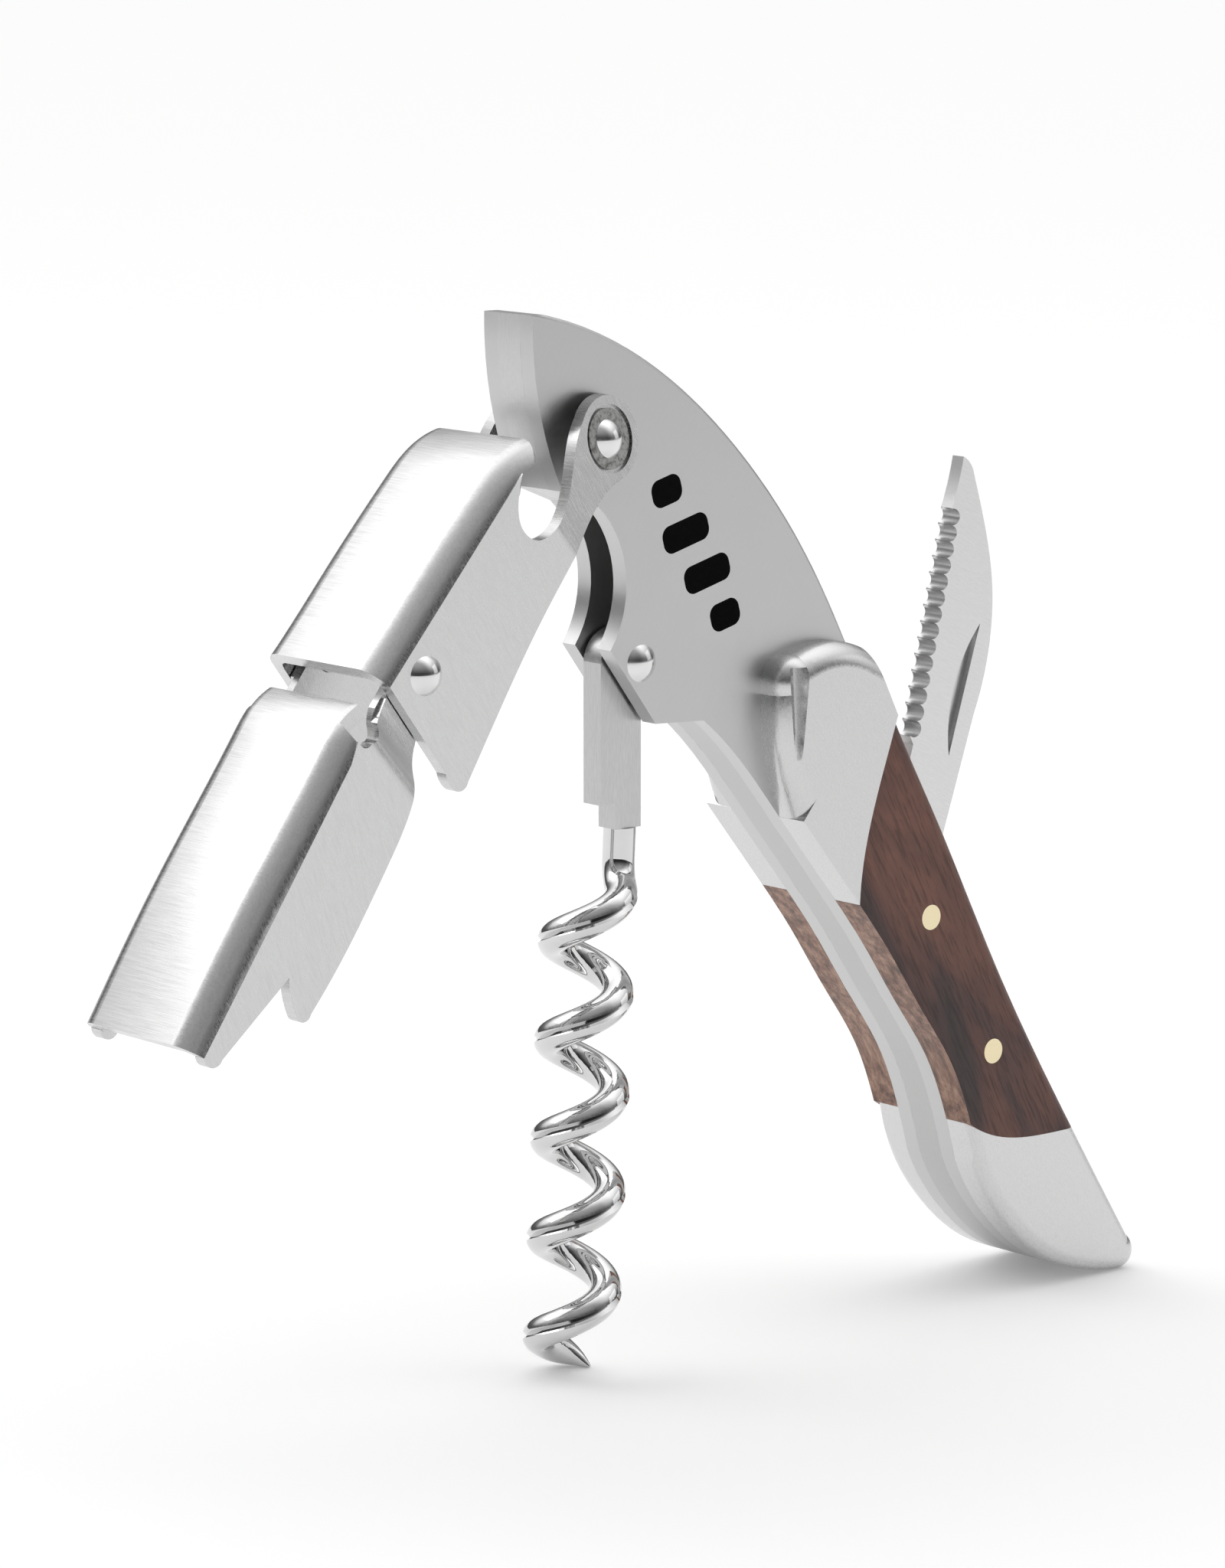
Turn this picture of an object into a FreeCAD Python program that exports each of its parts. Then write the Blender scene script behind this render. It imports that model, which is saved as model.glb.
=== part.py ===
import FreeCAD, Part
import math
import os

# Waiter's corkscrew, standing open on the tip of its worm and on its tail.
# Millimetres. X runs along the tool, Y across its thickness, Z up from the table.
# Every outline is drawn in the X-Z plane and is mirrored to both sides of Y = 0.

V = FreeCAD.Vector

# ---- driving dimensions -------------------------------------------------------
BODY_LENGTH = 122.0      # nose corner to tail, straight
LEVER_LENGTH = 68.0      # lever pivot to the lower lever's end, straight
WORM_REACH = 65.9        # worm pivot to worm tip, straight
BLADE_REACH = 43.5       # knife pivot to knife tip, straight
PLATE = 1.8              # side plate thickness
GAP = 3.1                # space between the two side plates
SCALE = 3.4              # thickness of wood scale, bolster and end cap
LEVER_WIDTH = 16.3       # outside width of the lever channels
SHEET = 1.3              # lever sheet thickness
BEND = 2.6               # outside bend radius of the lever channels
WIRE = 3.0               # worm wire diameter
WORM_DIAMETER = 9.0      # outside diameter of the helix
PITCH = 9.2              # worm pitch
TANG = 2.4               # worm tang thickness
TANG_WIDTH = 4.8         # worm tang width
BLADE = 1.5              # knife blade thickness
LEVER_RIVET = 3.0        # lever rivet shank diameter
KNEE_RIVET = 2.4         # knee rivet shank diameter
WORM_RIVET = 2.6         # worm rivet shank diameter
BRASS_PIN = 2.4          # brass pin diameter
EDGE = 0.3               # rounding of the side plates' outer back edges
INLAY_DEPTH = 0.8        # depth of the black inlays in the side plates
RUNNING = 0.05           # radial clearance of a shank in the bore that turns on it
SIDE_PLAY = 0.15         # clearance between faces that slide past each other
ORIGIN_X = 6.1           # the frame's origin lies this far along X from the worm tip

# ---- sizes that follow from them ------------------------------------------------
BODY = BODY_LENGTH / 122.0           # in-plane growth of the body outlines
LEVER = LEVER_LENGTH / 68.0          # in-plane growth of the lever outlines
KNIFE = BLADE_REACH / 43.5           # in-plane growth of the blade outline
INNER = GAP / 2                      # inner face of a side plate
OUTER = INNER + PLATE                # outer face of a side plate
GRIP = OUTER + SCALE                 # outer face of scale, bolster and cap
LEVER_OUT = LEVER_WIDTH / 2          # outer face of a lever wall
LEVER_IN = LEVER_OUT - SHEET         # inner face of a lever wall


def at(x, z, grow=BODY):
    """A point of the body's outline plane."""
    return V(x * grow, 0, z * grow)


# ---- pivots ---------------------------------------------------------------------
LEVER_PIVOT = at(-3.4, 86.9)
WORM_PIVOT = at(2.5, 65.9)
KNIFE_PIVOT = at(35.8, 38.8)
TAIL_PIN = at(44.2, 24.7)


def lever_at(x, z):
    """A point of the lever outlines, which grow from the lever pivot."""
    home = V(-3.4, 0, 86.9)
    return LEVER_PIVOT + (V(x, 0, z) - home) * LEVER


KNEE_PIVOT = lever_at(-26.3, 68.2)


# ---- drawing helpers -------------------------------------------------------------
def spline(points):
    """A smooth edge through the points."""
    curve = Part.BSplineCurve()
    curve.interpolate(points)
    return curve.toShape()


def arc(start, middle, end):
    return Part.Arc(start, middle, end).toShape()


def outline(start, *steps):
    """A closed face: each step is a point for a straight run, a pair (middle, end) for an
    arc, or a list of points for a smooth curve."""
    edges = []
    here = start
    for step in steps:
        if isinstance(step, list):
            edges.append(spline([here] + step))
            here = step[-1]
        elif isinstance(step, tuple):
            edges.append(arc(here, step[0], step[1]))
            here = step[1]
        else:
            edges.append(Part.makeLine(here, step))
            here = step
    if here.distanceToPoint(start) > 1e-6:
        edges.append(Part.makeLine(here, start))
    return Part.Face(Part.Wire(edges))


def prism(face, low, high):
    """The face's outline carried across the thickness from Y = low to Y = high."""
    raised = face.copy()
    raised.translate(V(0, low, 0))
    return raised.extrude(V(0, high - low, 0))


def rod(centre, diameter, low, high):
    """A cylinder along Y."""
    foot = V(centre.x, low, centre.z)
    return Part.makeCylinder(diameter / 2, high - low, foot, V(0, 1, 0))


def mirrored(shape):
    return shape.mirror(V(0, 0, 0), V(0, 1, 0))


def dome(centre, outward, diameter, height):
    """A rivet head: a ball cap of this base diameter and height on a plane."""
    radius = (diameter * diameter / 4 + height * height) / (2 * height)
    ball = Part.makeSphere(radius, centre - outward * (radius - height))
    keep = Part.makeCylinder(diameter, height * 2, centre, outward)
    return ball.common(keep)


def edges_on_face(shape, level, keep=lambda middle: True):
    """The edges that lie in the plane Y = level and whose middle passes the test."""
    found = []
    for edge in shape.Edges:
        box = edge.BoundBox
        if abs(box.YMin - level) > 0.01 or abs(box.YMax - level) > 0.01:
            continue
        middle = edge.valueAt((edge.FirstParameter + edge.LastParameter) / 2)
        if keep(middle):
            found.append(edge)
    return found


# ---- worm sizes -------------------------------------------------------------------
TANG_FOOT = 13.0         # worm pivot down to the wide part's foot
TANG_STEP = 2.4          # how much further the narrow part reaches down
TANG_LEFT = 3.0          # worm pivot to the tang's left edge
HEEL = 2.9               # radius of the rounded heel round the worm pivot
NECK = 2.7               # straight wire between the tang and the elbow
ELBOW = 3.0              # centre-line radius of the bend into the helix
HELIX_LEAN = 3.0         # lean of the wire from the tang, in degrees
POINT_TURN = 0.22        # share of a turn over which the wire is drawn to a point
POINT = 0.15             # radius left at the point
POINT_STEPS = 6          # sections along the drawn point
GROOVE = 0.35            # depth and half width of the groove along the wire
WORM_FOLD = 34.0         # how far the worm folds in towards the grip, in degrees
SPRING_CLEAR = 0.25      # clearance between the spring and the folded tang
WORM_HEAD = 3.4          # diameter of the worm rivet's heads
WORM_HEAD_HEIGHT = 0.7


# ---- body outline -----------------------------------------------------------------
NOSE_TOP = at(-10.2, 98.0)
BACK = [at(4.2, 92.6), at(14.6, 84.1), at(22.6, 74.3), at(28.0, 65.0), at(32.0, 57.2),
        at(37.2, 47.9), at(45.4, 32.5), at(55.8, 15.4), at(63.6, 3.4)]
TAIL_ROUND = (at(64.2, 1.0), at(62.4, 0.01))
CAP_FRONT = [at(57.4, 0.8), at(51.5, 3.3), at(47.2, 6.9), at(44.2, 10.6), at(42.6, 13.6)]
GRIP_FRONT = [at(41.3, 18.0), at(38.7, 24.2), at(34.4, 30.4), at(30.4, 36.2), at(26.6, 41.1),
              at(19.3, 50.0), at(13.2, 57.1), at(10.0, 59.9)]
HEAD_UNDERSIDE = at(4.2, 60.2)
BEAK = at(-1.2, 67.4)
THROAT = (at(0.7, 73.0), at(-2.6, 80.5))
NOSE_FOOT = at(-6.8, 82.2)
NOSE_FRONT = [at(-8.7, 86.9), at(-9.9, 92.4), NOSE_TOP]


def body_face():
    """The side plate's outline: nose, hooped back, tail, hollow front, beak and throat."""
    return outline(NOSE_TOP, at(-8.8, 98.0), BACK, TAIL_ROUND, CAP_FRONT, GRIP_FRONT,
                   HEAD_UNDERSIDE, BEAK, THROAT, NOSE_FOOT, NOSE_FRONT)


def bounded(face, region, low, high):
    """The part of the body's outline that lies in a region, as a prism."""
    return prism(face, low, high).common(prism(region, low, high))


# ---- side plates and what is between them ------------------------------------------
INLAY_SPOTS = [(5.5, 81.3, 3.6), (7.8, 77.3, 5.6), (10.4, 73.4, 5.6), (12.6, 69.4, 3.6)]
INLAY_HEIGHT = 2.6
INLAY_TILT = 15.0
INLAY_CORNER = 1.0


def inlay(spot, depth):
    """One black inlay: a slanting bar with rounded ends, flush with the near plate."""
    x, z, length = spot
    bar = Part.makeBox(length, depth, INLAY_HEIGHT, V(-length / 2, 0, -INLAY_HEIGHT / 2))
    upright = [e for e in bar.Edges if e.BoundBox.YLength > depth / 2]
    bar = bar.makeFillet(INLAY_CORNER, upright)
    bar.rotate(V(0, 0, 0), V(0, 1, 0), -INLAY_TILT)
    bar.translate(at(x, z) + V(0, -OUTER, 0))
    return bar


def side_plate():
    """The near plate, with its pivot bores and the pockets for the inlays."""
    plate = prism(body_face(), -OUTER, -INNER)
    bores = [rod(LEVER_PIVOT, LEVER_RIVET + 2 * RUNNING, -OUTER - 1, 0),
             rod(WORM_PIVOT, WORM_RIVET, -OUTER - 1, 0),
             rod(KNIFE_PIVOT, BRASS_PIN, -OUTER - 1, 0),
             rod(TAIL_PIN, BRASS_PIN, -OUTER - 1, 0)]
    pockets = [inlay(spot, INLAY_DEPTH) for spot in INLAY_SPOTS]
    back = edges_on_face(plate, -OUTER, on_back)
    return plate.makeFillet(EDGE, back).cut(bores + pockets)


def nose_block():
    """The solid block between the plates behind the nose, bored for the lever rivet."""
    region = outline(at(-12, 100), at(1.0, 100), at(3.4, 90), [at(2.4, 84.5), at(-1.0, 80.6)],
                     at(-3, 78), at(-12, 78))
    block = bounded(body_face(), region, -INNER, INNER)
    return block.cut(rod(LEVER_PIVOT, LEVER_RIVET + 2 * RUNNING, -GAP, GAP))


def front_spine():
    """The filler strip that closes the grip's front and widens into the tail."""
    region = outline(at(19.3, 50.0), at(14, 46), at(38, 10), at(40, -3), at(70, -3), at(70, 9),
                     at(55.0, 9.5), [at(48.4, 16.0), at(44.6, 21.4)], at(41.8, 26.2),
                     [at(36.5, 31.4), at(33.0, 35.6), at(30.0, 40.0)], at(22.0, 52.2))
    spine = bounded(body_face(), region, -INNER, INNER)
    return spine.cut(rod(TAIL_PIN, BRASS_PIN, -GAP, GAP))


def leaf_spring():
    """The leaf spring that bears beside the worm's heel, clear of the tang when it folds."""
    fold = math.radians(WORM_FOLD)
    beside = V(math.cos(fold), 0, math.sin(fold)) * (TANG_WIDTH - TANG_LEFT + SPRING_CLEAR)
    down = V(math.sin(fold), 0, -math.cos(fold))
    foot = WORM_PIVOT + beside + down * (TANG_FOOT + TANG_STEP)
    tip = WORM_PIVOT + beside + down * HEEL
    region = outline(at(19.3, 50.0), at(15.0, 46.0), foot, tip,
                     (tip + V(1.0, 0, 0.5), tip + V(1.5, 0, -0.5)),
                     [at(11.0, 61.6), at(15.6, 57.8)], at(22.0, 52.2))
    return bounded(body_face(), region, -INNER, INNER)


# ---- grip ---------------------------------------------------------------------------
WOOD_TOP = [at(27.3, 46.6), at(28.9, 52.0), at(31.2, 58.4)]
WOOD_FOOT = [at(45.0, 16.2), at(50.2, 15.5), at(58.0, 15.4)]
GRIP_ROUND = 1.3         # rounding of the grip's outer back edge
CROWN = 2.2              # rounding of the bolster's crown
FLUTE_TOP = 1.25         # radius of the flute where it starts under the crown
FLUTE_END = 0.2          # radius of the flute where it runs out
FLUTE_LENGTH = 13.5


def bolster_region():
    return outline(at(26.55, 41.05), WOOD_TOP, at(34.0, 62.0), at(27.9, 65.2),
                   [at(24.0, 66.0), at(19.8, 65.2)], (at(17.6, 64.3), at(17.2, 61.6)),
                   [at(17.5, 55.6), at(18.4, 52.6), at(19.4, 49.9)], at(17.0, 47.0), at(26.0, 38.0))


def scale_region():
    return outline(at(26.55, 41.05), WOOD_TOP, at(66.0, 58.0), at(66.0, 15.4), at(58.0, 15.4),
                   [at(50.2, 15.5), at(45.0, 16.2), at(41.35, 17.9)], at(36.0, 20.0),
                   at(22.0, 38.0))


def cap_region():
    return outline(at(41.35, 17.9), WOOD_FOOT, at(70.0, 15.4), at(70.0, -5.0), at(38.0, -5.0),
                   at(38.0, 16.0))


def flute():
    """The tapering groove that runs down the bolster's front shoulder."""
    line = V(-0.3, 0, -FLUTE_LENGTH)
    top = at(18.9, 64.2) + V(0, -GRIP - 0.35, 0)
    return Part.makeCone(FLUTE_TOP, FLUTE_END, line.Length, top, line)


def bolster():
    """The steel bolster on the near plate, proud of it, with rounded shoulders."""
    block = bounded(body_face(), bolster_region(), -GRIP, -OUTER)
    crown = edges_on_face(block, -GRIP, lambda m: m.z > 51 * BODY and m.x < 29.2 * BODY)
    block = block.makeFillet(CROWN, crown)
    return block.cut(flute())


def wood_scale():
    """The rosewood scale, bored for the two brass pins."""
    wood = bounded(body_face(), scale_region(), -GRIP, -OUTER)
    back = edges_on_face(wood, -GRIP, lambda m: m.x > 31.5 * BODY and on_back(m))
    wood = wood.makeFillet(GRIP_ROUND, back)
    pins = [rod(KNIFE_PIVOT, BRASS_PIN, -GRIP - 1, 0), rod(TAIL_PIN, BRASS_PIN, -GRIP - 1, 0)]
    return wood.cut(pins)


def on_back(point):
    """True near the back edge of the grip."""
    back = spline([at(-8.8, 98.0)] + BACK)
    return back.distToShape(Part.Vertex(V(point.x, 0, point.z)))[0] < 0.05


def end_cap():
    """The steel end cap on the near plate, rounded at the back and under the tail."""
    cap = bounded(body_face(), cap_region(), -GRIP, -OUTER)
    rim = edges_on_face(cap, -GRIP, lambda m: m.z < 13.0 * BODY or on_back(m))
    return cap.makeFillet(GRIP_ROUND, rim)


def brass_pin(centre):
    """A brass pin through both scales and plates, flush with the wood."""
    return rod(centre, BRASS_PIN, -GRIP, GRIP)


# ---- worm ------------------------------------------------------------------------------
def worm_tang():
    """The flat tang that turns between the plates, with a step at its foot."""
    left = -TANG_LEFT
    right = TANG_WIDTH - TANG_LEFT
    step = right - WIRE
    slant = HEEL * 0.7
    face = outline(V(left, 0, 0), (V(-slant, 0, slant), V(0, 0, HEEL)),
                   (V(right * 0.8, 0, slant * 0.9), V(right, 0, 0)),
                   V(right, 0, -TANG_FOOT - TANG_STEP), V(step, 0, -TANG_FOOT - TANG_STEP),
                   V(step, 0, -TANG_FOOT), V(left, 0, -TANG_FOOT))
    tang = prism(face, -TANG / 2, TANG / 2)
    tang.translate(WORM_PIVOT)
    return tang.cut(rod(WORM_PIVOT, WORM_RIVET + 2 * RUNNING, -TANG, TANG))


def helix_point(angle, radius):
    """The wire's centre on a helix round Z, at an angle counted up from the point."""
    return V(radius * math.cos(angle), radius * math.sin(angle), PITCH * angle / (2 * math.pi))


def wire_section(angle, radius, thick):
    """A round section of the wire, square to the helix."""
    rise = PITCH / (2 * math.pi)
    along = V(-radius * math.sin(angle), radius * math.cos(angle), rise)
    return Part.Wire(Part.makeCircle(thick, helix_point(angle, radius), along))


def grooved_section(angle, radius):
    """A round section with the fine V groove on its outer side."""
    centre = helix_point(angle, radius)
    outward = V(math.cos(angle), math.sin(angle), 0)
    along = V(-radius * math.sin(angle), radius * math.cos(angle), PITCH / (2 * math.pi))
    across = along.cross(outward).normalize()
    half = math.asin(GROOVE / (WIRE / 2))
    mouth = outward * (WIRE / 2 * math.cos(half))
    upper = centre + mouth + across * GROOVE
    lower = centre + mouth - across * GROOVE
    floor = centre + outward * (WIRE / 2 - GROOVE)
    back = centre - outward * (WIRE / 2)
    return Part.Wire([arc(upper, back, lower), Part.makeLine(lower, floor),
                      Part.makeLine(floor, upper)])


def worm_wire():
    """The worm's wire: straight neck, elbow, right-handed helix and drawn point."""
    radius = (WORM_DIAMETER - WIRE) / 2
    slope = math.atan2(PITCH, 2 * math.pi * radius)
    turn = math.pi / 2 - slope
    sideways = ELBOW * (1 - math.cos(turn))
    drop = ELBOW * math.sin(turn)
    foot = TANG_FOOT + TANG_STEP
    height = WORM_REACH - foot - NECK - drop - POINT
    top_angle = 2 * math.pi * height / PITCH
    start = 2 * math.pi * POINT_TURN

    spine = Part.makeHelix(PITCH, height - PITCH * POINT_TURN, radius)
    spine.rotate(V(0, 0, 0), V(0, 0, 1), math.degrees(start))
    spine.translate(V(0, 0, PITCH * POINT_TURN))
    coil = Part.Wire(spine).makePipeShell([grooved_section(start, radius)], True, True)

    sections = []
    for i in range(POINT_STEPS + 1):
        share = i / POINT_STEPS
        thick = POINT + (WIRE / 2 - POINT) * math.sin(share * math.pi / 2)
        sections.append(wire_section(start * share, radius, thick))
    point = Part.makeLoft(sections, True)

    rim = Part.makeCircle(WIRE / 2, V(radius, 0, 0), V(0, math.cos(slope), math.sin(slope)))
    disc = Part.Face(Part.Wire(rim))
    elbow = disc.revolve(V(radius, sideways - ELBOW, drop), V(1, 0, 0), math.degrees(turn))
    neck = Part.makeCylinder(WIRE / 2, NECK + 1, V(radius, sideways, drop), V(0, 0, 1))
    stem = elbow.fuse(neck)
    stem.rotate(V(0, 0, 0), V(0, 0, 1), math.degrees(top_angle))
    stem.translate(V(0, 0, height))
    wire = coil.fuse([point, stem]).removeSplitter()

    # Bring the neck under the tang, lean the wire and set its point at full reach.
    facing = top_angle + math.atan2(sideways, radius)
    wire.rotate(V(0, 0, 0), V(0, 0, 1), -math.degrees(facing))
    out = math.hypot(radius, sideways)
    wire.translate(V(TANG_WIDTH - TANG_LEFT - WIRE / 2 - out, 0, POINT - WORM_REACH))
    wire.rotate(V(0, 0, -foot), V(0, 1, 0), HELIX_LEAN)
    wire.translate(WORM_PIVOT)
    wire.translate(V(0, 0, WORM_PIVOT.z - WORM_REACH - lowest(wire)))
    above = Part.makeBox(WORM_REACH, WORM_REACH, WORM_REACH,
                         WORM_PIVOT - V(WORM_REACH / 2, WORM_REACH / 2, foot))
    return wire.cut(above)


def lowest(shape):
    """The true lowest level of a shape, which a spline's own box overstates."""
    table = Part.makePlane(400, 400, V(-200, -200, -200))
    return shape.distToShape(table)[0] - 200


# ---- levers ----------------------------------------------------------------------------
EAR_RADIUS = 3.85        # ear round the lever pivot
EAR_REACH = 4.6          # how far the ear's sheet runs past the pivot
DISH = 3.1               # radius of the dish pressed into the ear
DISH_DEPTH = 0.5         # depth of the dish
WASHER = 2.75            # radius of the washer in the dish
WASHER_THICKNESS = 0.4
BEND_START = 10.6        # from the lever pivot back to where the walls begin to close in
WALL_BEND = 3.0          # radius of the wall's gentle bends
ROOT = 2.8               # depth of the wall that is pressed in one with the cover
KNEE_EAR = 2.6           # ear round the knee
NEST = 0.15              # clearance of the lower lever's ears inside the upper lever
JOGGLE_NEAR = 5.4        # from the knee out to where the joggle begins
JOGGLE_FAR = 7.4         # from the knee out to where the wall is full width
END_CORNER = 2.4         # rounding of the upper cover's top corners, seen square to it
NOTCH_INSET = 1.9        # how far the lower lever's notch reaches into its cover's bend
HEAD_DOME = 3.5          # diameter of the lever rivets' heads
HEAD_HEIGHT = 0.9

LEVER_LINE = V(0.788, 0, 0.615).normalize()      # from the knee towards the lever pivot
LEVER_RISE = V(-0.615, 0, 0.788).normalize()     # square to it, in the outline plane
KNEE_LINE = V(-0.764, 0, -0.647).normalize()     # from the knee out, square to the joggle
KNEE_RISE = V(-0.647, 0, 0.764).normalize()


def folded_sheet(centre, along, across, track):
    """A near-side sheet of constant thickness. Its outer face follows a track of pairs:
    distance from the centre and distance from the middle plane."""
    slopes = [math.atan2(b[1] - a[1], b[0] - a[0]) for a, b in zip(track, track[1:])]
    before = [slopes[0]] + slopes
    after = slopes + [slopes[-1]]
    outer = []
    inner = []
    for (s, y), first, last in zip(track, before, after):
        middle = (first + last) / 2
        depth = SHEET / math.cos((first - last) / 2)
        outer.append(centre + along * s - V(0, y, 0))
        inner.append(centre + along * (s + depth * math.sin(middle))
                     - V(0, y - depth * math.cos(middle), 0))
    face = Part.Face(Part.makePolygon(outer + inner[::-1] + [outer[0]]))
    width = 90 * LEVER
    face.translate(across * (-width / 2))
    sheet = face.extrude(across * width)
    corners = [Part.Vertex(corner) for corner in outer[1:-1] + inner[1:-1]]
    creases = [edge for edge in sheet.Edges if edge.Length > width * 0.99
               and any(corner.distToShape(edge)[0] < 0.01 for corner in corners)]
    return sheet.makeFillet(WALL_BEND, creases)


def ear_slope():
    """Slope of the closing walls: from full width down to the side plate at the ear's end."""
    fall = LEVER_IN - (OUTER + SIDE_PLAY)
    return math.atan2(fall, BEND_START * LEVER + EAR_REACH)


def ear_level():
    """The ear's outer face over the pivot, measured from the middle plane."""
    slope = ear_slope()
    return OUTER + SIDE_PLAY + EAR_REACH * math.tan(slope) + SHEET / math.cos(slope)


def ear_outward():
    """The outward direction of the near ear."""
    slope = ear_slope()
    return LEVER_LINE * math.sin(slope) + V(0, -math.cos(slope), 0)


def channel(line, inset, depth, half_width, bend, overrun=0.0):
    """A bar under a cover line, its two long outer edges rounded to the bend."""
    curve = Part.BSplineCurve()
    curve.interpolate(line)
    top = []
    foot = []
    for point in line:
        tangent = V(*curve.tangent(curve.parameter(point))[0])
        inward = V(tangent.z, 0, -tangent.x)
        top.append(point + inward * inset)
        foot.append(point + inward * (inset + depth))
    first = (top[0] - top[1]).normalize() * overrun
    last = (top[-1] - top[-2]).normalize() * overrun
    run = [spline(top)]
    under = [spline(foot[::-1])]
    ends = [Part.makeLine(top[-1], foot[-1]), Part.makeLine(foot[0], top[0])]
    if overrun:
        ends = [Part.makePolygon([top[-1], top[-1] + last, foot[-1] + last, foot[-1]]),
                Part.makePolygon([foot[0], foot[0] + first, top[0] + first, top[0]])]
    wire = Part.Wire(Part.sortEdges(sum([shape.Edges for shape in run + under + ends], []))[0])
    bar = prism(Part.Face(wire), -half_width, half_width)
    rims = []
    for level in (-half_width, half_width):
        rims += edges_on_face(bar, level, lambda m: on_line(m, run[0], top, first, last))
    return bar.makeFillet(bend, rims)


def on_line(point, curve, top, first, last):
    """True on the cover line and on its straight overruns."""
    flat = Part.Vertex(V(point.x, 0, point.z))
    parts = [curve]
    if first.Length > 0:
        parts += [Part.makeLine(top[0], top[0] + first), Part.makeLine(top[-1], top[-1] + last)]
    return min(flat.distToShape(part)[0] for part in parts) < 0.02


def pressed_cover(line):
    """The crowned cover of a channel with the bent roots of its two walls."""
    outside = channel(line, 0, ROOT, LEVER_OUT, BEND)
    inside = channel(line, SHEET, ROOT, LEVER_IN, BEND - SHEET, 3.0)
    return outside.cut(inside)


UPPER_COVER = [lever_at(-31.9, 69.1), lever_at(-25.2, 76.8), lever_at(-19.2, 83.5),
               lever_at(-16.6, 86.0), lever_at(-13.3, 87.6)]
LOWER_COVER = [lever_at(-52.2, 39.0), lever_at(-44.3, 51.2), lever_at(-36.2, 62.5),
               lever_at(-34.6, 64.6), lever_at(-32.3, 66.2)]


def end_corner(end, before):
    """What is cut away to round the near corner at a cover's end, seen square to it."""
    along = (end - before).normalize()
    size = END_CORNER
    block = Part.makeBox(2 * size, 2 * size, 4 * size, V(0, -2 * size, -3 * size))
    round_off = Part.makeCylinder(size, 4 * size, V(0, 0, -3 * size))
    tool = block.cut(round_off)
    tool.rotate(V(0, 0, 0), V(0, 1, 0), -math.degrees(math.atan2(along.z, along.x)))
    tool.translate(end - along * size - V(0, LEVER_OUT - size, 0))
    return tool


def upper_wall_face():
    """The upper lever's wall: first step, back edge, ear, and the cap lifter's notch."""
    turn = [LEVER_PIVOT + V(math.cos(a), 0, math.sin(a)) * EAR_RADIUS
            for a in (math.radians(-76), 0, math.radians(150))]
    return outline(lever_at(-30.3, 67.6), lever_at(-24.2, 59.4),
                   (lever_at(-23.9, 58.6), lever_at(-23.3, 57.9)),
                   (lever_at(-22.4, 57.7), lever_at(-21.7, 58.4)),
                   [lever_at(-18.8, 63.2), lever_at(-13.3, 71.8), lever_at(-9.4, 77.1),
                    lever_at(-6.2, 80.9), turn[0]],
                   (turn[1], turn[2]),
                   [lever_at(-8.2, 86.2), lever_at(-9.6, 82.3), lever_at(-11.5, 79.8),
                    lever_at(-13.7, 78.9), lever_at(-15.4, 80.0), lever_at(-15.9, 82.1),
                    lever_at(-15.4, 84.9)],
                   lever_at(-17.3, 82.7))


def upper_notch():
    """The top of the cap lifter's notch, cleared of the cover's bent root."""
    face = outline(lever_at(-15.4, 84.9), lever_at(-13.0, 86.0), lever_at(-8.2, 86.2),
                   lever_at(-9.6, 82.3), lever_at(-15.9, 82.1))
    return prism(face, -LEVER_OUT - 1, -LEVER_IN + BEND)


def upper_lever():
    """The upper lever: cover and two walls that close in to dished ears."""
    track = [(-60 * LEVER, LEVER_OUT), (-BEND_START * LEVER, LEVER_OUT),
             (EAR_REACH + 2, ear_level() - (EAR_REACH + 2) * math.tan(ear_slope()))]
    sheet = folded_sheet(LEVER_PIVOT, LEVER_LINE, LEVER_RISE, track)
    wall = sheet.common(prism(upper_wall_face(), -LEVER_OUT - 1, 0))
    face = LEVER_PIVOT - V(0, ear_level(), 0)
    floor = face - ear_outward() * DISH_DEPTH
    wall = wall.cut(Part.makeCylinder(DISH, 3, floor, ear_outward()))
    corner = end_corner(UPPER_COVER[-1], UPPER_COVER[-2])
    cover = pressed_cover(UPPER_COVER).cut([corner, mirrored(corner)])
    notch = upper_notch()
    cover = cover.cut([notch, mirrored(notch)])
    lever = cover.fuse([wall, mirrored(wall)])
    bores = [rod(LEVER_PIVOT, LEVER_RIVET, -LEVER_WIDTH, LEVER_WIDTH),
             rod(KNEE_PIVOT, KNEE_RIVET, -LEVER_WIDTH, LEVER_WIDTH)]
    return lever.cut(bores).removeSplitter()


def ear_seat():
    """Where the lever rivet's near head seats: the top of the washer in the dish."""
    face = LEVER_PIVOT - V(0, ear_level(), 0)
    return face - ear_outward() * (DISH_DEPTH - WASHER_THICKNESS)


def lever_washer():
    """The washer in the near ear's dish."""
    floor = ear_seat() - ear_outward() * WASHER_THICKNESS
    ring = Part.makeCylinder(WASHER, WASHER_THICKNESS, floor, ear_outward())
    return ring.cut(rod(LEVER_PIVOT, LEVER_RIVET, -LEVER_WIDTH, 0))


def lever_rivet():
    """The rivet that the upper lever turns on, peened onto both dished ears."""
    shank = rod(LEVER_PIVOT, LEVER_RIVET, -LEVER_WIDTH, LEVER_WIDTH)
    below = Part.makeCylinder(LEVER_WIDTH, LEVER_WIDTH * 2, ear_seat(), ear_outward() * -1)
    head = dome(ear_seat(), ear_outward(), HEAD_DOME, HEAD_HEIGHT)
    shank = shank.common(below).common(mirrored(below))
    return shank.fuse([head, mirrored(head)]).removeSplitter()


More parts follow.
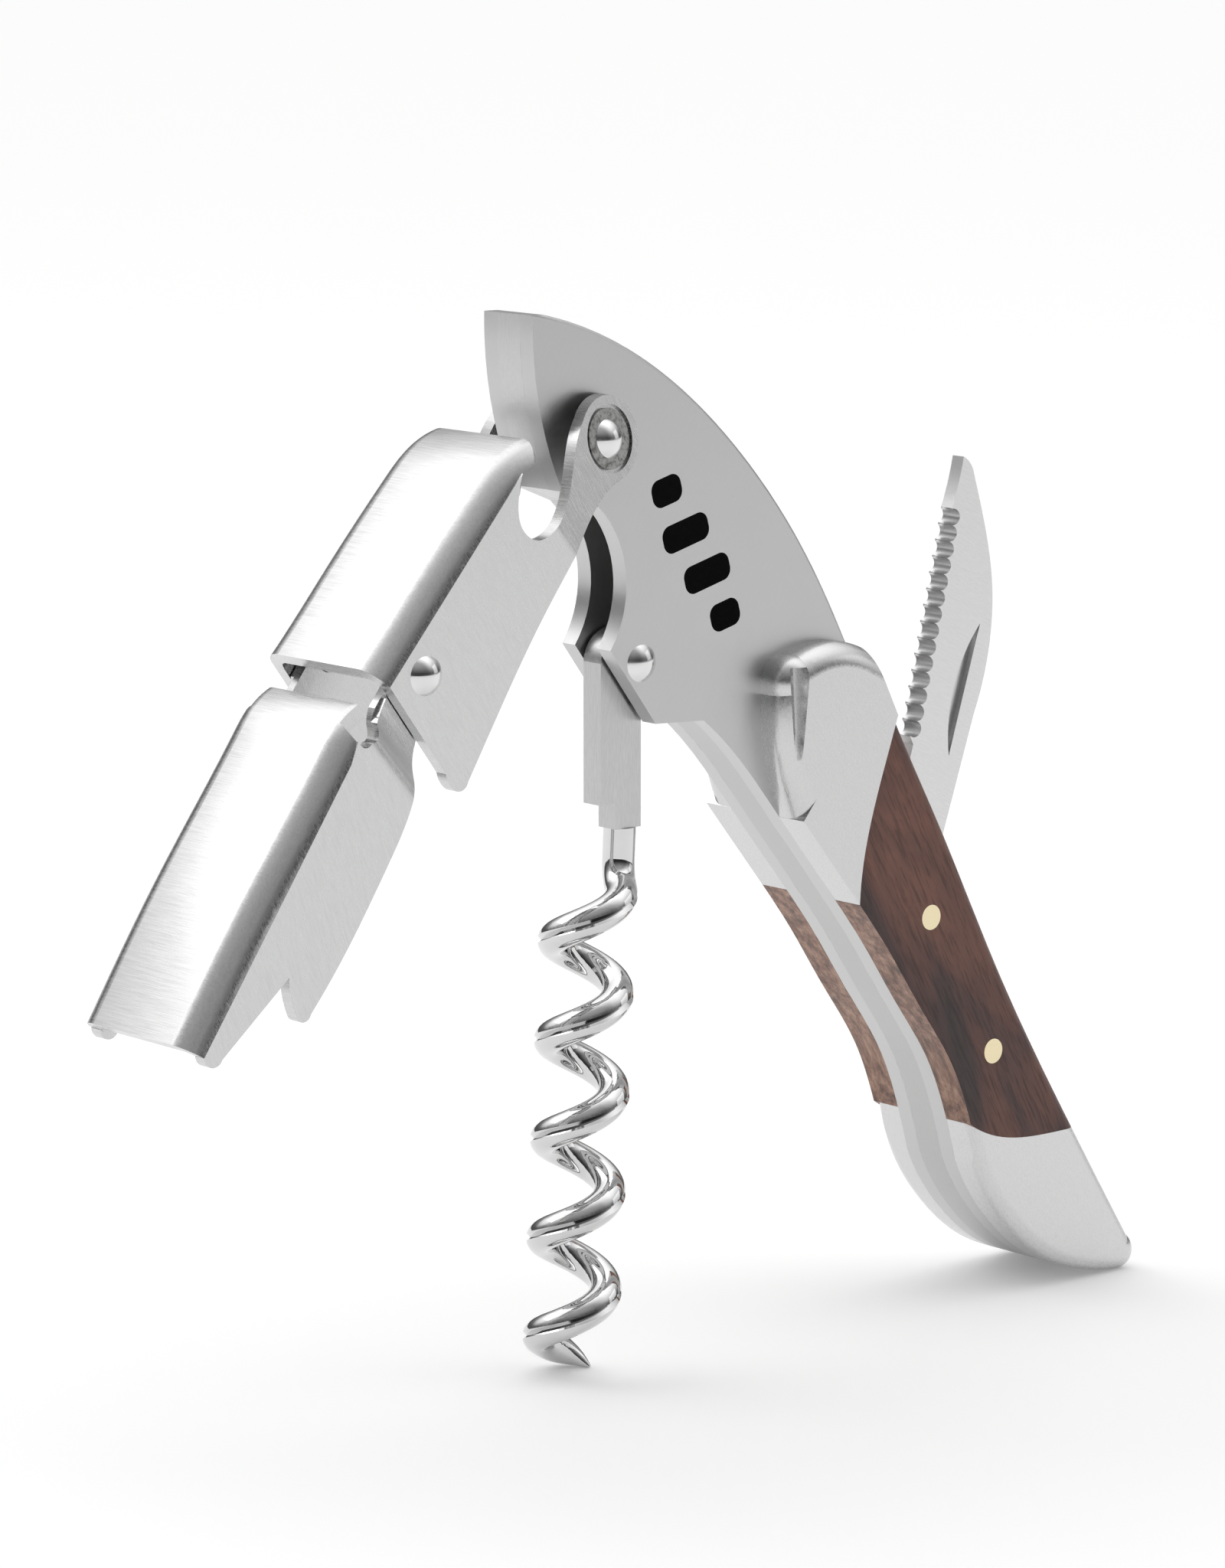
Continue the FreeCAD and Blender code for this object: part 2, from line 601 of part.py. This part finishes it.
def lower_wall_face():
    """The lower lever's wall: ear, back edge, second step and slanting foot."""
    ear = [KNEE_PIVOT + V(math.cos(a), 0, math.sin(a)) * KNEE_EAR
           for a in (math.radians(-25), math.radians(80), math.radians(190))]
    return outline(lever_at(-34.6, 61.3), lever_at(-50.6, 38.0),
                   (lever_at(-50.0, 37.1), lever_at(-48.7, 37.6)),
                   lever_at(-41.5, 43.7), [lever_at(-41.2, 41.4), lever_at(-40.7, 40.0)],
                   (lever_at(-40.0, 39.6), lever_at(-39.2, 40.2)),
                   [lever_at(-36.6, 43.4), lever_at(-30.8, 51.9), lever_at(-27.9, 57.2),
                    lever_at(-26.6, 61.6), ear[0]],
                   (ear[1], ear[2]), lever_at(-30.5, 65.6), lever_at(-31.0, 64.3),
                   (lever_at(-32.4, 62.9), lever_at(-33.6, 63.8)))


def lower_notch():
    """The U-shaped notch between the near ear and the cover's upper corner."""
    face = outline(lever_at(-34.3, 69.0), lever_at(-34.3, 65.0),
                   [lever_at(-33.9, 63.4), lever_at(-33.0, 62.6), lever_at(-31.8, 63.4),
                    lever_at(-30.5, 64.9)], lever_at(-29.6, 66.4), lever_at(-29.6, 69.0))
    return prism(face, -LEVER_OUT - 1, -LEVER_OUT + NOTCH_INSET)


def lower_lever():
    """The lower lever: a channel whose walls are joggled in to nest in the upper lever."""
    nested = LEVER_IN - NEST
    track = [(-10 * LEVER, nested), (JOGGLE_NEAR * LEVER, nested),
             (JOGGLE_FAR * LEVER, LEVER_OUT), (60 * LEVER, LEVER_OUT)]
    sheet = folded_sheet(KNEE_PIVOT, KNEE_LINE, KNEE_RISE, track)
    wall = sheet.common(prism(lower_wall_face(), -LEVER_OUT - 1, 0))
    lever = pressed_cover(LOWER_COVER).fuse([wall, mirrored(wall)])
    notch = lower_notch()
    bore = rod(KNEE_PIVOT, KNEE_RIVET + 2 * RUNNING, -LEVER_WIDTH, LEVER_WIDTH)
    return lever.cut([bore, notch, mirrored(notch)]).removeSplitter()


def through_rivet(centre, shank, level, head, height):
    """A rivet along Y with a domed head on each side, seated at this level."""
    pin = rod(centre, shank, -level, level)
    near = dome(centre - V(0, level, 0), V(0, -1, 0), head, height)
    return pin.fuse([near, mirrored(near)]).removeSplitter()


# ---- knife -----------------------------------------------------------------------------
TEETH = 14               # scallops along the edge
TOOTH_DEPTH = 0.35       # how deep the scallops bite on the far side of the blade
TOOTH_GRIND = 0.8        # how much deeper they bite on the near side
KNIFE_HEEL = 3.2         # radius of the tang round the knife's pivot
NICK_DEPTH = 0.6         # depth of the nail nick


def knife_at(x, z):
    """A point of the blade's outline, which grows from the knife's pivot."""
    home = V(35.8, 0, 38.8)
    return KNIFE_PIVOT + (V(x, 0, z) - home) * KNIFE


def scallops(first, last):
    """Round slanting cuts along the edge, each deeper on the near side of the blade."""
    run = last - first
    inward = V(-run.z, 0, run.x).normalize()
    axis = V(0, -BLADE, 0) + inward * TOOTH_GRIND
    radius = run.Length / TEETH / 2
    cuts = []
    for i in range(TEETH):
        centre = first + run * ((i + 0.5) / TEETH) + inward * (TOOTH_DEPTH - radius)
        start = centre + V(0, BLADE / 2, 0) - axis
        cuts.append(Part.makeCylinder(radius, axis.Length * 3, start, axis))
    return cuts


def foil_knife():
    """The serrated foil knife with its nail nick and round tang."""
    top_tooth = knife_at(43.8, 76.4)
    low_tooth = knife_at(38.6, 55.0)
    heel = [KNIFE_PIVOT + V(math.cos(a), 0, math.sin(a)) * KNIFE_HEEL
            for a in (math.radians(170), math.radians(245), math.radians(-35))]
    face = outline(knife_at(45.3, 81.2), [knife_at(44.8, 79.2), top_tooth],
                   low_tooth, knife_at(39.0, 54.2), knife_at(36.2, 45.4), heel[0], (heel[1], heel[2]),
                   knife_at(43.1, 45.3), knife_at(47.0, 56.4),
                   [knife_at(48.9, 62.5), knife_at(49.3, 68.0), knife_at(48.3, 74.0),
                    knife_at(46.7, 79.4)],
                   (knife_at(46.1, 80.6), knife_at(45.3, 81.2)))
    blade = prism(face, -BLADE / 2, BLADE / 2)
    nick = outline(knife_at(47.7, 65.0), (knife_at(44.3, 59.2), knife_at(43.7, 52.6)))
    slot = prism(nick, -BLADE / 2 - 1, -BLADE / 2 + NICK_DEPTH)
    bore = rod(KNIFE_PIVOT, BRASS_PIN + 2 * RUNNING, -GAP, GAP)
    return blade.cut(scallops(top_tooth, low_tooth) + [slot, bore])


# ---- output -----------------------------------------------------------------------------
def save(name, shape):
    """Write one node, moved so that the frame's origin is under the tool's middle."""
    solid = shape.copy()
    solid.translate(V(-ORIGIN_X, 0, 0))
    if solid.ShapeType != "Solid":
        solid = solid.Solids[0]
    solid.exportStep("parts/%s.step" % name)


def save_pair(name, near):
    """Write a piece and its mirror image on the far side."""
    save("left_" + name, near)
    save("right_" + name, mirrored(near))


def main():
    os.makedirs("parts", exist_ok=True)
    save_pair("side_plate", side_plate())
    for number, spot in enumerate(INLAY_SPOTS, 1):
        save_pair("inlay_%d" % number, inlay(spot, INLAY_DEPTH))
    save("nose_block", nose_block())
    save("front_spine", front_spine())
    save("leaf_spring", leaf_spring())
    save_pair("bolster", bolster())
    save_pair("scale", wood_scale())
    save_pair("end_cap", end_cap())
    save("knife_pin", brass_pin(KNIFE_PIVOT))
    save("tail_pin", brass_pin(TAIL_PIN))
    save("worm_rivet", through_rivet(WORM_PIVOT, WORM_RIVET, OUTER, WORM_HEAD, WORM_HEAD_HEIGHT))
    save("worm_tang", worm_tang())
    save("worm_wire", worm_wire())
    save("upper_lever", upper_lever())
    save("lever_rivet", lever_rivet())
    save_pair("lever_washer", lever_washer())
    save("knee_rivet", through_rivet(KNEE_PIVOT, KNEE_RIVET, LEVER_OUT, HEAD_DOME, HEAD_HEIGHT))
    save("lower_lever", lower_lever())
    save("foil_knife", foil_knife())


main()
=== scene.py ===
import math

import bpy
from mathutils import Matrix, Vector


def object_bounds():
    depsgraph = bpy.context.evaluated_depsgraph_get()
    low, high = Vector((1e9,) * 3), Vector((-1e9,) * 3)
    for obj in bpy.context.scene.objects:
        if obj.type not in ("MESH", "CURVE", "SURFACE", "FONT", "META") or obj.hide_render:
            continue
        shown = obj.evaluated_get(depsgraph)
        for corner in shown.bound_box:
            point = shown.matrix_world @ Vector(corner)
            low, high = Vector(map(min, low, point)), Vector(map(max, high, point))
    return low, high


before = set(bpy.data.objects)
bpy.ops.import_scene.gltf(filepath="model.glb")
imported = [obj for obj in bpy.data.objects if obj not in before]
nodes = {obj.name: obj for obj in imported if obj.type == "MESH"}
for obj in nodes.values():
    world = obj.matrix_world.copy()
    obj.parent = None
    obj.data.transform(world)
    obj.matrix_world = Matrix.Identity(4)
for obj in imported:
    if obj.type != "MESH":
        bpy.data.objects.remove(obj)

# Looks of the waiter's corkscrew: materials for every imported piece, a pale floor,
# soft studio light and the camera. Metres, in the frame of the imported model.

cad_low, cad_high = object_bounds()
scene = bpy.context.scene
MM = 0.001


# ---- shader helpers -------------------------------------------------------------------
class Shader:
    """One procedural material: a Principled shader and the nodes that feed it."""

    def __init__(self, name, color, metallic, roughness):
        self.material = bpy.data.materials.new(name)
        self.material.use_nodes = True
        self.tree = self.material.node_tree
        self.bsdf = self.tree.nodes["Principled BSDF"]
        self.set("Base Color", (*color, 1.0))
        self.set("Metallic", metallic)
        self.set("Roughness", roughness)
        self.coords = self.node("ShaderNodeTexCoord").outputs["Object"]

    def node(self, kind, **settings):
        made = self.tree.nodes.new(kind)
        for key, value in settings.items():
            setattr(made, key, value)
        return made

    def link(self, source, target):
        self.tree.links.new(source, target)

    def set(self, socket, value):
        self.bsdf.inputs[socket].default_value = value

    def feed(self, socket, source):
        self.link(source, self.bsdf.inputs[socket])

    def placed(self, scale, turn=(0, 0, 0), coords=None):
        """Object coordinates, turned (degrees) and then scaled per axis, in 1/metres."""
        turned = self.node("ShaderNodeMapping")
        turned.inputs["Rotation"].default_value = [math.radians(a) for a in turn]
        self.link(coords or self.coords, turned.inputs["Vector"])
        scaled = self.node("ShaderNodeMapping")
        scaled.inputs["Scale"].default_value = scale
        self.link(turned.outputs["Vector"], scaled.inputs["Vector"])
        return scaled.outputs["Vector"]

    def noise(self, vector, detail=3.0, rough=0.55, distortion=0.0):
        made = self.node("ShaderNodeTexNoise")
        made.inputs["Scale"].default_value = 1.0
        made.inputs["Detail"].default_value = detail
        made.inputs["Roughness"].default_value = rough
        made.inputs["Distortion"].default_value = distortion
        self.link(vector, made.inputs["Vector"])
        return made.outputs["Fac"]

    def span(self, source, low, high, first=0.0, last=1.0):
        """The source's first..last range carried to low..high."""
        made = self.node("ShaderNodeMapRange")
        for key, value in zip(("From Min", "From Max", "To Min", "To Max"),
                              (first, last, low, high)):
            made.inputs[key].default_value = value
        self.link(source, made.inputs["Value"])
        return made.outputs["Result"]

    def math(self, operation, one, two):
        made = self.node("ShaderNodeMath", operation=operation)
        for socket, value in zip(made.inputs, (one, two)):
            if isinstance(value, (int, float)):
                socket.default_value = value
            else:
                self.link(value, socket)
        return made.outputs["Value"]

    def ramp(self, source, stops):
        """A colour ramp with stops of (place, colour)."""
        made = self.node("ShaderNodeValToRGB")
        bar = made.color_ramp
        while len(bar.elements) < len(stops):
            bar.elements.new(0.5)
        for element, (place, color) in zip(bar.elements, stops):
            element.position = place
            element.color = (*color, 1.0)
        self.link(source, made.inputs["Fac"])
        return made.outputs["Color"]

    def bump(self, height, depth):
        """Relief from a height; depth is what a height of 1 stands for, in metres."""
        made = self.node("ShaderNodeBump")
        made.inputs["Strength"].default_value = 1.0
        made.inputs["Distance"].default_value = depth
        self.link(height, made.inputs["Height"])
        self.feed("Normal", made.outputs["Normal"])


def grey(value, warm=0.0):
    return (value, value * (1 - 0.3 * warm), value * (1 - warm))


STREAK_FINE = (900, 9000, 9000)      # brushed streaks: along, and twice across
STREAK_SHARE = 0.7                   # streaks against broad clouds
CLOUD_FINE = 90
BRIGHTEST = 0.97                     # no metal reflects more than this
BRUSHED_SPREAD = 0.08                # how far the streaks move the roughness


def brushed(name, value, roughness, turn, grain=0.05, depth=0.004 * MM):
    """Steel brushed along its turned X axis: long streaks in colour, roughness, relief."""
    steel = Shader(name, grey(value), 1.0, roughness)
    streaks = steel.noise(steel.placed(STREAK_FINE, turn), detail=4, rough=0.65)
    clouds = steel.noise(steel.placed([CLOUD_FINE] * 3), detail=3)
    mixed = steel.math("ADD", steel.math("MULTIPLY", streaks, STREAK_SHARE),
                       steel.math("MULTIPLY", clouds, 1 - STREAK_SHARE))
    steel.feed("Base Color", steel.ramp(mixed, [
        (0.32, grey(value - grain)), (0.5, grey(value)),
        (0.68, grey(min(value + grain, BRIGHTEST)))]))
    steel.feed("Roughness", steel.span(mixed, roughness - BRUSHED_SPREAD,
                                       roughness + BRUSHED_SPREAD, 0.3, 0.7))
    steel.bump(streaks, depth)
    return steel.material


CROWN_RISE = 0.45 * MM               # rise of a lever cover's middle over its edges
HALF_COVER = 8 * MM                  # half a lever cover's width
COVER_FINE = (7000, 260, 7000)       # streaks across the cover
WALL_FINE = (500, 8000, 8000)        # streaks along the walls
BEND_FINE = 5200                     # grain of the bends
BEND_ROUGHER = 0.22                  # what a bend adds to the roughness
PRESSED_GRAIN = 0.05
FINE_RELIEF = 0.004 * MM


def pressed_steel(name, value, roughness, slope):
    """Pressed lever sheet: brushed across on its crowned cover, lengthwise on its walls, and
    left grainy along the bends between them."""
    steel = Shader(name, grey(value), 1.0, roughness)
    place = steel.node("ShaderNodeSeparateXYZ")
    steel.link(steel.coords, place.inputs["Vector"])
    facing = steel.node("ShaderNodeSeparateXYZ")
    steel.link(steel.node("ShaderNodeNewGeometry").outputs["Normal"], facing.inputs["Vector"])
    # 0 where the sheet faces along the middle plane, 1 where it faces sideways.
    aside = steel.math("ABSOLUTE", facing.outputs["Y"], 0)
    wall = steel.span(aside, 0.0, 1.0, 0.75, 0.95)
    bend = steel.math("MULTIPLY", steel.span(aside, 0.0, 1.0, 0.3, 0.55),
                      steel.span(aside, 1.0, 0.0, 0.8, 0.95))
    across = steel.noise(steel.placed(COVER_FINE), detail=4, rough=0.65)
    along = steel.noise(steel.placed(WALL_FINE, (0, slope, 0)), detail=4, rough=0.6)
    grain = steel.noise(steel.placed([BEND_FINE] * 3), detail=4, rough=0.7)

    def choose(share, one, two):
        mix = steel.node("ShaderNodeMix")
        for socket, source in zip(("Factor", "A", "B"), (share, one, two)):
            steel.link(source, mix.inputs[socket])
        return mix.outputs["Result"]

    streaks = choose(bend, choose(wall, across, along), grain)
    steel.feed("Base Color", steel.ramp(streaks, [
        (0.34, grey(value - PRESSED_GRAIN)), (0.5, grey(value)),
        (0.66, grey(value + PRESSED_GRAIN))]))
    rough = steel.span(streaks, roughness - 0.06, roughness + 0.07, 0.3, 0.7)
    steel.feed("Roughness", steel.math("ADD", rough,
                                       steel.math("MULTIPLY", bend, BEND_ROUGHER)))

    # The cover is crowned across its width; the streaks lie on that crown.
    crown = steel.math("MULTIPLY", steel.math("POWER", steel.math(
        "MULTIPLY", place.outputs["Y"], 1 / HALF_COVER), 2), -CROWN_RISE)
    crown = steel.math("MULTIPLY", crown, steel.span(aside, 1.0, 0.0, 0.2, 0.7))
    fine = steel.math("MULTIPLY", streaks, FINE_RELIEF)
    steel.bump(steel.math("ADD", crown, fine), 1.0)
    return steel.material


POLISH_CLOUDS = 260
POLISH_MARKS = 700


def polished(name, value, roughness, warm=0.0, mottle=0.03):
    """Polished metal with faint clouding and fine handling marks."""
    metal = Shader(name, grey(value, warm), 1.0, roughness)
    clouds = metal.noise(metal.placed([POLISH_CLOUDS] * 3), detail=5, rough=0.6)
    metal.feed("Base Color", metal.ramp(clouds, [
        (0.35, grey(value - mottle, warm)),
        (0.65, grey(min(value + mottle, BRIGHTEST), warm))]))
    metal.feed("Roughness", metal.span(clouds, roughness * 0.6, roughness * 1.5, 0.35, 0.65))
    marks = metal.noise(metal.placed([POLISH_MARKS] * 3), detail=4)
    metal.bump(marks, 0.0025 * MM)
    return metal.material


PIT_FINE = 2200
PIT_DEPTH = 0.02 * MM


def mottled(name, value, roughness):
    """Stamped steel with a fine pitted mottle."""
    metal = Shader(name, grey(value, 0.03), 1.0, roughness)
    spots = metal.noise(metal.placed([PIT_FINE] * 3), detail=5, rough=0.7)
    metal.feed("Base Color", metal.ramp(spots, [
        (0.38, grey(value * 0.45, 0.05)), (0.5, grey(value, 0.03)),
        (0.66, grey(value * 1.35))]))
    metal.feed("Roughness", metal.span(spots, roughness - 0.12, roughness + 0.14, 0.35, 0.65))
    metal.bump(spots, PIT_DEPTH)
    return metal.material


GRIP_TURN = (0, -62, 0)              # lays a texture's X axis along the grip
FIGURE_FINE = (26, 150, 120)         # broad figure, pores and sawn lines of the wood
PORE_FINE = (320, 3600, 3600)
SAWN_FINE = (160, 900, 5200)
PORE_SHARE = 0.75                    # how strongly the pores darken the figure
PORE_DEPTH = 0.02 * MM
FIGURE_STOPS = [
    (0.32, (0.012, 0.004, 0.004)), (0.43, (0.040, 0.011, 0.008)),
    (0.52, (0.100, 0.030, 0.018)), (0.62, (0.160, 0.056, 0.032)),
    (0.72, (0.055, 0.017, 0.011))]
PORE_STOPS = [(0.36, (0.45, 0.4, 0.38)), (0.5, (1, 1, 1))]
SAWN_STOPS = [
    (0.36, (0.10, 0.045, 0.028)), (0.5, (0.23, 0.115, 0.075)),
    (0.66, (0.40, 0.235, 0.165))]
FRONT_STARTS = -0.35                 # how far a face must turn forward to show sawn grain
FRONT_FULL = -0.7


def rosewood(name):
    """Oiled rosewood: dark figure along the grip, reddish ground, pores, light end grain."""
    wood = Shader(name, (0.12, 0.04, 0.02), 0.0, 0.42)
    wood.set("IOR", 1.5)
    wood.set("Coat Weight", 0.12)
    wood.set("Coat Roughness", 0.3)
    along = wood.placed(FIGURE_FINE, GRIP_TURN)
    figure = wood.noise(along, detail=5, rough=0.55, distortion=0.9)
    bands = wood.ramp(figure, FIGURE_STOPS)
    pores = wood.noise(wood.placed(PORE_FINE, GRIP_TURN), detail=3, rough=0.6)
    dark = wood.ramp(pores, PORE_STOPS)
    tinted = wood.node("ShaderNodeMix", data_type="RGBA", blend_type="MULTIPLY")
    tinted.inputs["Factor"].default_value = PORE_SHARE
    wood.link(bands, tinted.inputs["A"])
    wood.link(dark, tinted.inputs["B"])

    # The front edge shows sawn grain: paler, with fine lines along the grip.
    lines = wood.noise(wood.placed(SAWN_FINE, GRIP_TURN), detail=4, rough=0.7)
    sawn = wood.ramp(lines, SAWN_STOPS)
    facing = wood.node("ShaderNodeNewGeometry").outputs["True Normal"]
    turned = wood.placed((1, 1, 1), GRIP_TURN, facing)
    split = wood.node("ShaderNodeSeparateXYZ")
    wood.link(turned, split.inputs["Vector"])
    front = wood.span(split.outputs["Z"], 0.0, 1.0, FRONT_STARTS, FRONT_FULL)
    both = wood.node("ShaderNodeMix", data_type="RGBA")
    wood.link(front, both.inputs["Factor"])
    wood.link(tinted.outputs["Result"], both.inputs["A"])
    wood.link(sawn, both.inputs["B"])
    wood.feed("Base Color", both.outputs["Result"])
    wood.feed("Roughness", wood.span(pores, 0.52, 0.36, 0.35, 0.6))
    wood.bump(pores, PORE_DEPTH)
    return wood.material


INLAY_GRAIN = 4000


def inlay_black(name):
    """Matt black filling with a faint grain."""
    black = Shader(name, (0.004, 0.004, 0.004), 0.0, 0.75)
    black.set("Specular IOR Level", 0.06)
    grain = black.noise(black.placed([INLAY_GRAIN] * 3), detail=3)
    black.feed("Base Color", black.ramp(grain, [
        (0.3, (0.0004, 0.0004, 0.0004)), (0.7, (0.002, 0.002, 0.002))]))
    black.bump(grain, 0.01 * MM)
    return black.material


def wear(names, material):
    """Gives the CAD nodes this material."""
    for name in names:
        slots = nodes[name].material_slots
        if not slots:
            nodes[name].data.materials.append(material)
        for slot in slots:
            slot.material = material


def both_sides(*names):
    return [side + name for name in names for side in ("left_", "right_")]


wear(both_sides("side_plate"),
     brushed("plate_satin", 0.565, 0.36, (0, 50, 0), grain=0.02, depth=0.002 * MM))
wear(["nose_block"], brushed("nose_brushed", 0.575, 0.34, (0, 90, 0), grain=0.05))
wear(["front_spine", "leaf_spring"],
     brushed("spine_satin", 0.50, 0.36, GRIP_TURN, grain=0.03))
wear(both_sides("bolster"),
     brushed("bolster_satin", 0.62, 0.27, GRIP_TURN, grain=0.03, depth=0.002 * MM))
wear(both_sides("end_cap"),
     brushed("cap_satin", 0.66, 0.30, GRIP_TURN, grain=0.03, depth=0.003 * MM))
wear(["upper_lever"], pressed_steel("upper_lever_satin", 0.62, 0.25, -58))
wear(["lower_lever"], pressed_steel("lower_lever_satin", 0.62, 0.25, -68))
wear(both_sides("lever_washer"), mottled("washer_mottle", 0.36, 0.45))
wear(["lever_rivet", "knee_rivet", "worm_rivet"], polished("rivet_polish", 0.72, 0.16))
wear(["worm_wire"], polished("worm_bright", 0.66, 0.04, mottle=0.02))
wear(["worm_tang"], brushed("tang_brushed", 0.56, 0.34, (0, 90, 0), grain=0.08))
wear(["foil_knife"], brushed("blade_brushed", 0.72, 0.34, (0, -28, 0), grain=0.06))
wear(both_sides("scale"), rosewood("rosewood_oiled"))
wear(["knife_pin", "tail_pin"], polished("brass_flush", 0.80, 0.22, warm=0.42, mottle=0.03))
wear(both_sides("inlay_1", "inlay_2", "inlay_3", "inlay_4"), inlay_black("inlay_matt"))


# ---- floor ----------------------------------------------------------------------------
FLOOR_SIZE = 12.0
FLOOR_GREY = 0.93
FLOOR_LIFT = 0.16            # light the floor gives off, so that it stays nearly white


def pale_floor():
    bpy.ops.mesh.primitive_plane_add(size=FLOOR_SIZE, location=(0, 0, cad_low.z))
    floor = bpy.context.active_object
    floor.name = "floor"
    pale = Shader("floor_pale", grey(FLOOR_GREY), 0.0, 0.6)
    pale.set("Specular IOR Level", 0.2)
    pale.set("Emission Color", (1.0, 1.0, 1.0, 1.0))
    pale.set("Emission Strength", FLOOR_LIFT)
    floor.data.materials.append(pale.material)


pale_floor()


# ---- light ----------------------------------------------------------------------------
HORIZON = 0.10               # brightness of the tent at the horizon and overhead
ZENITH = 1.6
DARK_SIDE = 0.30             # share of the tent's light that is left behind the camera
BEHIND_CAMERA = (-0.62, -0.74, 0.25)
TENT_STARTS = 0.05           # how directly a ray must point: up, behind, and at the glow
DARK_STARTS, DARK_FULL = 0.15, 0.75
GLOW_PLACE = (-0.30, 0.75, 0.58)
GLOW_STARTS, GLOW_FULL = 0.88, 0.985
GLOW = 0.55


def studio_sky():
    """A soft white tent, dark behind the camera, with one broad glow behind the levers."""
    world = bpy.data.worlds.new("studio")
    world.use_nodes = True
    tree = world.node_tree
    sky = tree.nodes["Background"]
    sky.inputs["Color"].default_value = (1.0, 1.0, 1.0, 1.0)
    coords = tree.nodes.new("ShaderNodeTexCoord").outputs["Generated"]

    def towards(direction, first, last, low, high):
        """Goes smoothly from low to high as the ray turns towards the direction."""
        dot = tree.nodes.new("ShaderNodeVectorMath")
        dot.operation = "DOT_PRODUCT"
        tree.links.new(coords, dot.inputs[0])
        dot.inputs[1].default_value = Vector(direction).normalized()
        ease = tree.nodes.new("ShaderNodeMapRange")
        ease.interpolation_type = "SMOOTHSTEP"
        for key, value in zip(("From Min", "From Max", "To Min", "To Max"),
                              (first, last, low, high)):
            ease.inputs[key].default_value = value
        tree.links.new(dot.outputs["Value"], ease.inputs["Value"])
        return ease.outputs["Result"]

    def combine(operation, one, two):
        made = tree.nodes.new("ShaderNodeMath")
        made.operation = operation
        tree.links.new(one, made.inputs[0])
        tree.links.new(two, made.inputs[1])
        return made.outputs["Value"]

    tent = towards((0, 0, 1), TENT_STARTS, 1.0, HORIZON, ZENITH)
    dark = towards(BEHIND_CAMERA, DARK_STARTS, DARK_FULL, 1.0, DARK_SIDE)
    glow = towards(GLOW_PLACE, GLOW_STARTS, GLOW_FULL, 0.0, GLOW)
    light = combine("ADD", combine("MULTIPLY", tent, dark), glow)
    tree.links.new(light, sky.inputs["Strength"])
    scene.world = world


LIT_POINT = Vector((0.0, 0.0, 0.05))     # what both softboxes face


def softbox(name, place, size, power):
    """A rectangular area light at a place, facing the object."""
    data = bpy.data.lights.new(name, "AREA")
    data.shape = "RECTANGLE"
    data.size, data.size_y = size
    data.energy = power
    lamp = bpy.data.objects.new(name, data)
    lamp.location = place
    lamp.rotation_euler = (LIT_POINT - Vector(place)).to_track_quat("-Z", "Y").to_euler()
    scene.collection.objects.link(lamp)


studio_sky()
softbox("key_top_left", (-0.55, 0.75, 0.85), (0.7, 0.5), 1.2)
softbox("side_right", (0.9, -0.5, 0.35), (0.5, 0.5), 0.5)


# ---- camera ---------------------------------------------------------------------------
VIEW_TURN = 40.81            # degrees round from the object's near side towards its front
VIEW_RISE = 9.82             # degrees above the horizon
VIEW_DISTANCE = 0.5216
VIEW_SHIFT = Vector((-0.00417, 0.0, 0.0055))     # from the middle of the box to the aim
LENS = 131.84
SENSOR = 36.0


def studio_camera():
    aim = (cad_low + cad_high) / 2 + VIEW_SHIFT
    turn = math.radians(VIEW_TURN)
    rise = math.radians(VIEW_RISE)
    away = Vector((-math.sin(turn) * math.cos(rise), -math.cos(turn) * math.cos(rise),
                   math.sin(rise)))
    data = bpy.data.cameras.new("camera")
    data.lens = LENS
    data.sensor_width = SENSOR
    data.clip_start = 0.01
    data.clip_end = 50.0
    camera = bpy.data.objects.new("camera", data)
    camera.location = aim + away * VIEW_DISTANCE
    camera.rotation_euler = (-away).to_track_quat("-Z", "Y").to_euler()
    scene.collection.objects.link(camera)
    scene.camera = camera


studio_camera()
scene.view_settings.view_transform = "Standard"
scene.view_settings.look = "None"
